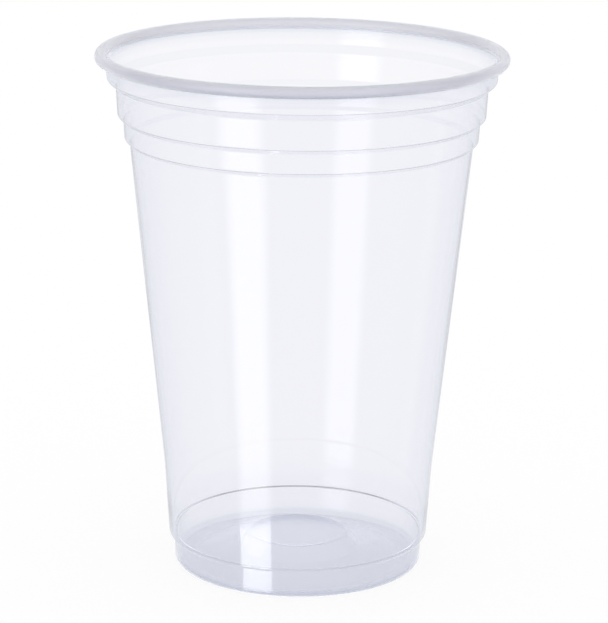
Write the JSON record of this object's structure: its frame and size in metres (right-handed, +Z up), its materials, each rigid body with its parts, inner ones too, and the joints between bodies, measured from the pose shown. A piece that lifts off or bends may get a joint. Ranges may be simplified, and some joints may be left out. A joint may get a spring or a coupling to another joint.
{
  "type": "plastic disposable cup",
  "caption": "Clear tapered drinking cup drawn from one thin plastic sheet, with a hollow rolled rim, stacking ledges under the lip, a stepped foot and a pushed-up base.",
  "frame": {"origin": "on the cup's axis, on the surface that the standing ring rests on", "axes": "+Z up along the cup's axis, from the base to the open mouth"},
  "size_m": [0.095, 0.095, 0.1226],
  "materials": {
    "clear_sheet": "clear gloss polypropylene sheet"
  },
  "bodies": {
    "root": {"cup": "clear_sheet"}
  },
  "joints": []
}
